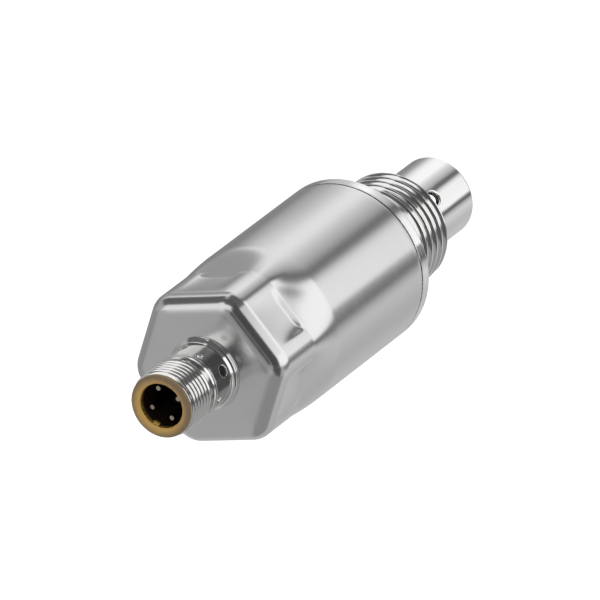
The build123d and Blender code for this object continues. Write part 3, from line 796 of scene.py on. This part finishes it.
def process_fitting():
    """Turned fitting as one closed wall. The stud's radius is the least of an envelope and the thread,
    root + depth × ridge."""
    inner = BARREL_RADIUS - WALL
    undercut_rows, outer_gap, inner_gap = 0.3, 0.03, 0.3
    bevel_in, bevel_long = SEAM_BEVEL
    run_in_start, run_in_end = STUD_RUN_IN
    turns = round_turns(336)
    ahead = softened([(TUBE_RADIUS, STUD_END), (TUBE_RADIUS, TUBE_SEAT), (FITTING_BORE, TUBE_SEAT),
                      (FITTING_BORE, SPIGOT_START), (inner - SPIGOT_CHAMFER, SPIGOT_START),
                      (inner, SPIGOT_START + SPIGOT_CHAMFER), (inner, SEAM), (BARREL_RADIUS - bevel_in, SEAM),
                      (BARREL_RADIUS, SEAM + bevel_long), (BARREL_RADIUS, FLANGE_CHAMFER),
                      (COLLAR_RADIUS, SEALING_FACE), (RING_GROOVE_RADIUS, SEALING_FACE),
                      (RING_GROOVE_RADIUS, RING_GROOVE_STATION), (UNDERCUT_RADIUS, RING_GROOVE_STATION),
                      (UNDERCUT_RADIUS, UNDERCUT_END)], FITTING_EDGE)[3:-4]
    stations = spread(UNDERCUT_END - undercut_rows, (STUD_END, 180))[:, None]
    rise = STUD_RADIUS - UNDERCUT_RADIUS
    envelope = np.interp(stations, [UNDERCUT_END, UNDERCUT_END + rise, STUD_END - STUD_CHAMFER, STUD_END],
                         [UNDERCUT_RADIUS, STUD_RADIUS, STUD_RADIUS, STUD_RADIUS - STUD_CHAMFER])
    fade = smooth(STUD_FIRST_CREST - run_in_start, STUD_FIRST_CREST - run_in_end, stations)
    cut = STUD_THREAD_DEPTH * (1 - ridge(stations, turns, STUD_PITCH, STUD_FIRST_CREST, *STUD_FLANK)) * fade
    stud = place(np.minimum(envelope, STUD_RADIUS - cut), turns, stations)
    end_face = np.array([(STUD_RADIUS - STUD_CHAMFER - outer_gap, STUD_END),
                         (TUBE_RADIUS + inner_gap, STUD_END)])
    grid = np.concatenate([carried_round(ahead, turns), stud, carried_round(end_face, turns)])
    return dress(skin("process_fitting_turned", grid), "polished_steel", "process_fitting")


def sealing_ring():
    """Rubber ring with bevelled lips."""
    proud = SEALING_FACE + RING_PROUD
    outline = softened([(UNDERCUT_RADIUS, RING_GROOVE_STATION), (RING_RADIUS, RING_GROOVE_STATION),
                        (RING_RADIUS, proud - RING_LIP), (RING_RADIUS - RING_LIP, proud),
                        (UNDERCUT_RADIUS + 2 * RING_LIP, proud), (UNDERCUT_RADIUS, proud - 2 * RING_LIP)],
                       RING_EDGE)
    ring = skin("sealing_ring_moulded", carried_round(outline, round_turns(240)))
    return dress(ring, "seal_rubber", "sealing_ring")


QUARTER_COLUMNS = 72
PATCH_COLUMNS = 36


def probe_tube():
    """Protective tube: a closed wall with an open tip, and a cross hole with a broken edge at each quarter.
    Round a hole the wall is a patch whose points run from the hole's circle to the patch's square border,
    P = (1-t) circle + t border, laid on the cylinder."""
    all_columns = OIL_HOLE_COUNT * QUARTER_COLUMNS
    patch_half_turn = pi * PATCH_COLUMNS / all_columns
    across = np.linspace(-1, 1, PATCH_COLUMNS + 1) * patch_half_turn * TUBE_RADIUS
    bore = TUBE_RADIUS - TUBE_WALL
    turns = radians(OIL_HOLE_TURN) - patch_half_turn + round_turns(all_columns)

    def at_radius(radius, stations):
        return np.array([(radius, station) for station in stations])

    outer = at_radius(TUBE_RADIUS, [TUBE_SEAT + 0.1, STUD_END + 0.4, *(OIL_HOLE_STATION + across),
                                    PROBE_PLAIN_END, PROBE_END - TIP_EDGE_RADIUS - 0.3])
    bend = np.linspace(0, pi / 2, 9)
    tip = np.stack([TUBE_RADIUS - TIP_EDGE_RADIUS + TIP_EDGE_RADIUS * np.cos(bend),
                    PROBE_END - TIP_EDGE_RADIUS + TIP_EDGE_RADIUS * np.sin(bend)], axis=1)
    lip = np.array([(TIP_HOLE_RADIUS + wider, PROBE_END - back) for wider, back in TIP_LIP])
    inner = at_radius(bore, [PROBE_END - TIP_WALL, PROBE_PLAIN_END, *(OIL_HOLE_STATION - across),
                             STUD_END + 0.4, TUBE_SEAT + 0.1])
    outer_first, inner_first = 2, len(outer) + len(tip) + len(lip) + 2
    grid = carried_round(np.concatenate([outer, tip, lip, inner]), turns)
    rows, columns = grid.shape[:2]
    index = np.arange(rows * columns).reshape(rows, columns)
    faces = faces_between(index, np.roll(index, -1, axis=0)).reshape(rows, columns, 4)
    kept = np.ones((rows, columns), bool)

    low, high = np.full(PATCH_COLUMNS, across[0]), np.full(PATCH_COLUMNS, across[-1])
    up, down = across[:-1], across[:0:-1]
    border = np.stack([np.concatenate([low, up, high, down]), np.concatenate([up, high, down, low])], axis=1)
    unit = border / np.hypot(*border.T)[:, None]
    broken = OIL_HOLE_EDGE
    shares = (0.75, 0.5, 0.3, 0.15, 0.05, 0.0)
    wall = ((0.6, 0.4), (0.15, 0.85), (0.0, 1.3))
    flat = [(1 - t) * unit * (OIL_HOLE_RADIUS + broken) + t * border for t in shares]
    flat += [unit * (OIL_HOLE_RADIUS + wider * broken) for wider, _ in wall] + [unit * OIL_HOLE_RADIUS]
    flat = np.stack(flat + [(1 - t) * unit * OIL_HOLE_RADIUS + t * border for t in (0.2, 0.6)])
    levels = [TUBE_RADIUS] * len(shares) + [TUBE_RADIUS - deep * broken for _, deep in wall] + [bore] * 3
    levels = np.array(levels)[:, None]

    points, quads = [grid.reshape(-1, 3)], []
    for hole in range(OIL_HOLE_COUNT):
        left = hole * QUARTER_COLUMNS
        middle = radians(OIL_HOLE_TURN) + hole * 2 * pi / OIL_HOLE_COUNT
        borders = []
        for first, step in ((outer_first, 1), (inner_first, -1)):
            kept[first:first + PATCH_COLUMNS, left:left + PATCH_COLUMNS] = False
            block = index[first:first + PATCH_COLUMNS + 1, left:left + PATCH_COLUMNS + 1][::step]
            borders.append(np.concatenate([block[0, :-1], block[:-1, -1], block[-1, :0:-1], block[:0:-1, 0]]))
        patch = place(levels, middle + flat[..., 1] / TUBE_RADIUS, OIL_HOLE_STATION + flat[..., 0])
        numbers = np.arange(patch[..., 0].size).reshape(patch.shape[:2]) + sum(map(len, points))
        chain = np.concatenate([borders[0][None], numbers, borders[1][None]])
        quads.append(faces_between(chain[:-1], chain[1:]))
        points.append(patch.reshape(-1, 3))
    piece = mesh_object("probe_tube_polished", np.concatenate(points), np.concatenate([faces[kept], *quads]))
    return dress(piece, "polished_steel", "probe_tube")


housing_shell()
connector_sleeve()
window_plugs()
contact_insert()
contact_pins()
process_fitting()
sealing_ring()
probe_tube()

# Pieces that keep the construction's own mesh
KEPT_NODES = {
    "satin_steel": ("sleeve_nut", "feedthrough_body"),
    "gold_contact": ("feedthrough_leads",),
    "lead_glass": ("feedthrough_glass",),
    "seal_rubber": ("header_o_ring", "insert_o_ring", "sleeve_seal"),
    "ceramic": ("element_carrier", "humidity_element", "temperature_element", "ceramic_capacitors"),
    "circuit_board": ("main_board", "contact_board"),
    "chip_plastic": ("microcontroller", "signal_converter", "clock_crystal", "output_driver",
                     "voltage_regulator", "storage_inductor", "surge_diodes"),
    "holder_plastic": ("board_holder_front", "board_holder_rear"),
}
for slot_name, node_names in KEPT_NODES.items():
    for node_name in node_names:
        node_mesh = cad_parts[node_name].data
        node_mesh.materials.clear()
        node_mesh.materials.append(FINISH[slot_name])

# Studio

FLOOR_DEPTH = 0.25
FLOOR_HALF = 4.0
TENT_RADIUS = 0.22
TENT_FRONT, TENT_BACK = -0.75, 0.75
DISC_SOFT_EDGE = 0.07
DISC_FIRST_RADIUS = 0.05

# Brightness of the cloth round the tent, by turn in degrees: grey below, the near softbox from -10 to 35, a
# narrow dark gap at 50, the overhead softbox from 90 to 120 and a dark wall on the left at 170. The levels
# began as the photograph's brightness round the probe, worked back to the light that the metal reflects,
# and were then changed.
CLOTH = ((-180, 0.28), (-170, 0.27), (-160, 0.60), (-150, 0.72), (-140, 0.66), (-130, 0.58), (-120, 0.58),
         (-100, 0.60), (-80, 0.56), (-68, 0.57), (-50, 0.68), (-40, 0.74), (-31, 0.54), (-24, 0.18),
         (-19, 0.14), (-15, 0.55), (-10, 1.10), (30, 1.04), (37, 0.80), (45, 0.20), (52, 0.16), (61, 0.50),
         (70, 0.66), (80, 0.84), (90, 1.10), (112, 1.10), (122, 1.00), (132, 0.80), (145, 0.46), (160, 0.30),
         (170, 0.27), (180, 0.28))

# Cards on the cloth: middle turn in degrees, half width, soft edge, start and end along Y in metres, soft edge
# along Y, and brightness. Later cards lie over earlier ones.
CARDS = (
    ("far grey", 15, 26, 6, 0.385, 0.75, 0.06, 0.55),
    ("barrel scrim", 132, 8, 25, 0.26, 0.284, 0.008, 0.55),
    ("barrel shade", -12, 4, 5, 0.05, 0.284, 0.008, 0.20),
    ("front cloth", 0, 181, 1, -0.75, -0.07, 0.05, 0.50),
    ("left grey", 186, 14, 8, -0.14, 0.12, 0.04, 0.36),
    ("near softbox", 14, 24, 6, -0.16, 0.19, 0.03, 1.28),
    ("overhead grey", 122, 22, 10, 0.03, 0.14, 0.04, 0.42),
    ("overhead board", 118, 18, 8, -0.20, -0.04, 0.02, 0.14),
    ("upper right board", 60, 25, 6, -0.15, 0.045, 0.035, 0.14),
    ("upper softbox", 114, 44, 8, -0.64, -0.225, 0.02, 1.05),
    ("corner board", 76, 20, 6, -0.27, -0.12, 0.03, 0.12),
    ("lower front grey", -77, 25, 8, -0.40, -0.06, 0.04, 0.34),
    ("camera shade", 20, 32, 12, -0.75, -0.16, 0.03, 0.08),
    ("lower camera shade", -35, 14, 8, -0.55, -0.14, 0.03, 0.10),
    ("front rim shade", 218, 22, 20, -0.75, -0.52, 0.08, 0.26),
)



def light_tent():
    """Round tent about the sensor's axis, closed by a board at each end. Only reflections see it. The cloth's
    brightness goes round by turn, and each card draws it towards its own by a soft-edged share."""
    ends = np.array([TENT_FRONT, TENT_BACK])[:, None]
    tent = skin("light_tent", around_axis(TENT_RADIUS, round_turns(180), ends), ring=False)
    material, tree, glow = glowing("tent_cloth")
    xyz = parted(tree, object_place(tree))
    turn = math_node(tree, "ARCTAN2", xyz["Z"], xyz["X"])
    cloth = tree.nodes.new("ShaderNodeValToRGB")
    feed(tree, math_node(tree, "MULTIPLY_ADD", turn, 1 / (2 * pi), 0.5), cloth, "Fac")
    stops = cloth.color_ramp.elements
    for stop, (_, bright) in ((stops[0], CLOTH[0]), (stops[1], CLOTH[-1])):
        stop.color = (bright, bright, bright, 1)
    for degrees_round, bright in CLOTH[1:-1]:
        stops.new(degrees_round / 360 + 0.5).color = (bright, bright, bright, 1)
    level = cloth.outputs["Color"]
    for _, middle, half, soft, start, end, soft_y, bright in CARDS:
        shifted = math_node(tree, "SUBTRACT", turn, radians(middle))
        off = math_node(tree, "ABSOLUTE", math_node(tree, "WRAP", shifted, pi, -pi))
        off_y = math_node(tree, "ABSOLUTE", math_node(tree, "SUBTRACT", xyz["Y"], (start + end) / 2))
        share = eased(tree, off, radians(half), radians(half + soft))
        share_y = eased(tree, off_y, (end - start) / 2, (end - start) / 2 + soft_y)
        mixed = tree.nodes.new("ShaderNodeMix")
        feed(tree, math_node(tree, "MULTIPLY", share, share_y), mixed, "Factor")
        feed(tree, level, mixed, "A")
        fix(mixed, "B", bright)
        level = mixed.outputs["Result"]
    feed(tree, level, glow, "Strength")
    only_reflected(tent, material)


def tent_end(name, along_y, middle, border, dark_radius, aside):
    """Round board across an end of the tent with a darker disc, whose centre lies aside by so many metres
    towards the camera's side."""
    radii = np.array([DISC_FIRST_RADIUS, TENT_RADIUS])[:, None]
    board = skin(name, around_axis(radii, round_turns(96), along_y), ring=False, poles=[(0, along_y, 0)])
    material, tree, glow = glowing(name + "_paint")
    shifted = tree.nodes.new("ShaderNodeMapping")
    fix(shifted, "Location", (-aside * cos(FLAT_TURN), 0, -aside * sin(FLAT_TURN)))
    feed(tree, object_place(tree), shifted, "Vector")
    off = axis_distance(tree, parted(tree, shifted.outputs["Vector"]))
    inside = eased(tree, off, dark_radius, dark_radius + DISC_SOFT_EDGE)
    feed(tree, math_node(tree, "MULTIPLY_ADD", inside, middle - border, border), glow, "Strength")
    only_reflected(board, material)


def glowing(name):
    """Material that only glows; gives the material, its node tree and the emission shader."""
    material = bpy.data.materials.new(name)
    material.use_nodes = True
    tree = material.node_tree
    tree.nodes.clear()
    glow = tree.nodes.new("ShaderNodeEmission")
    feed(tree, glow.outputs[0], tree.nodes.new("ShaderNodeOutputMaterial"), "Surface")
    return material, tree, glow


def only_reflected(piece, material):
    """Studio piece that is seen in reflections and nowhere else."""
    piece.data.materials.append(material)
    piece.visible_camera = False
    piece.visible_diffuse = False
    piece.visible_shadow = False
    piece.visible_transmission = False


def seen_directly(tree):
    """1 for rays from the camera, from gloss and through glass, otherwise 0."""
    path = tree.nodes.new("ShaderNodeLightPath").outputs
    total = math_node(tree, "MAXIMUM", path["Is Camera Ray"], path["Is Glossy Ray"])
    return math_node(tree, "MAXIMUM", total, path["Is Transmission Ray"])


def floor():
    """Plain white floor well below the sensor. It takes the lamps' light and shadow, and glows a little for
    rays that see it directly, so that it reads as white."""
    corners = np.array([(-1, -1), (1, -1), (1, 1), (-1, 1)]) * FLOOR_HALF
    points = np.insert(corners, 2, -FLOOR_DEPTH, axis=1)
    piece = mesh_object("floor", points, np.array([[0, 1, 2, 3]]))
    material, tree, shader = new_material("floor_paint")
    for socket, value in (("Base Color", (0.8, 0.8, 0.8, 1)), ("Roughness", 1.0), ("Specular IOR Level", 0.0),
                          ("Emission Color", (1, 1, 1, 1))):
        fix(shader, socket, value)
    feed(tree, math_node(tree, "MULTIPLY", seen_directly(tree), 0.45), shader, "Emission Strength")
    piece.data.materials.append(material)


def sky():
    """White surroundings at strength 1 for direct rays and gloss, softer for the light that they cast."""
    world = bpy.data.worlds.new("studio")
    bpy.context.scene.world = world
    world.use_nodes = True
    tree = world.node_tree
    background = tree.nodes["Background"]
    fix(background, "Color", (1, 1, 1, 1))
    feed(tree, math_node(tree, "MULTIPLY_ADD", seen_directly(tree), 0.35, 0.65), background, "Strength")


def lamp(name, location, target, size, power):
    """Square soft lamp that faces a target. It lights plastic and casts shadow, and metal shows the tent."""
    data = bpy.data.lights.new(name, "AREA")
    data.size = size
    data.energy = power
    light = linked(bpy.data.objects.new(name, data))
    light.location = location
    light.rotation_euler = (Vector(target) - Vector(location)).to_track_quat("-Z", "Y").to_euler()
    light.visible_glossy = False


def camera():
    """Long lens from the photograph's side. With a the axis and w the direction of the flat that faces the
    camera, u = a × w: right, down and forward follow from the axis's tilt and turn in the picture."""
    tilt, turn = radians(36.569), radians(-37.363)
    distance, shift_right, shift_down = 2360.161, -23.479, 17.957
    a = Vector((0, 1, 0))
    w = Vector((cos(FLAT_TURN), 0, sin(FLAT_TURN)))
    u = a.cross(w)
    right = sin(tilt) * cos(turn) * a + cos(tilt) * cos(turn) * w - sin(turn) * u
    down = sin(tilt) * sin(turn) * a + cos(tilt) * sin(turn) * w + cos(turn) * u
    forward = cos(tilt) * a - sin(tilt) * w
    rim = Vector((0, -SEALING_FACE, 0))
    eye = (rim - (shift_right * right + shift_down * down + distance * forward)) * MM
    data = bpy.data.cameras.new("camera")
    data.sensor_width = 36
    data.lens = 840
    data.clip_start, data.clip_end = 0.1, 20
    shot = linked(bpy.data.objects.new("camera", data))
    shot.matrix_world = Matrix((
        (right.x, -down.x, -forward.x, eye.x),
        (right.y, -down.y, -forward.y, eye.y),
        (right.z, -down.z, -forward.z, eye.z),
        (0, 0, 0, 1)))
    bpy.context.scene.camera = shot


light_tent()
tent_end("front_board", TENT_FRONT, 0.08, 0.40, 0.08, 0.07)
tent_end("back_board", TENT_BACK, 0.25, 0.6, 0.15, 0)
floor()
sky()
lamp("overhead_lamp", (0.1, 0.1, 0.9), (0, 0, 0), 0.8, 6.0)
lamp("front_lamp", (0.5, -0.8, 0.5), (0, 0, 0), 0.6, 3.0)
camera()
bpy.context.scene.view_settings.view_transform = "Standard"

bpy.context.view_layer.update()
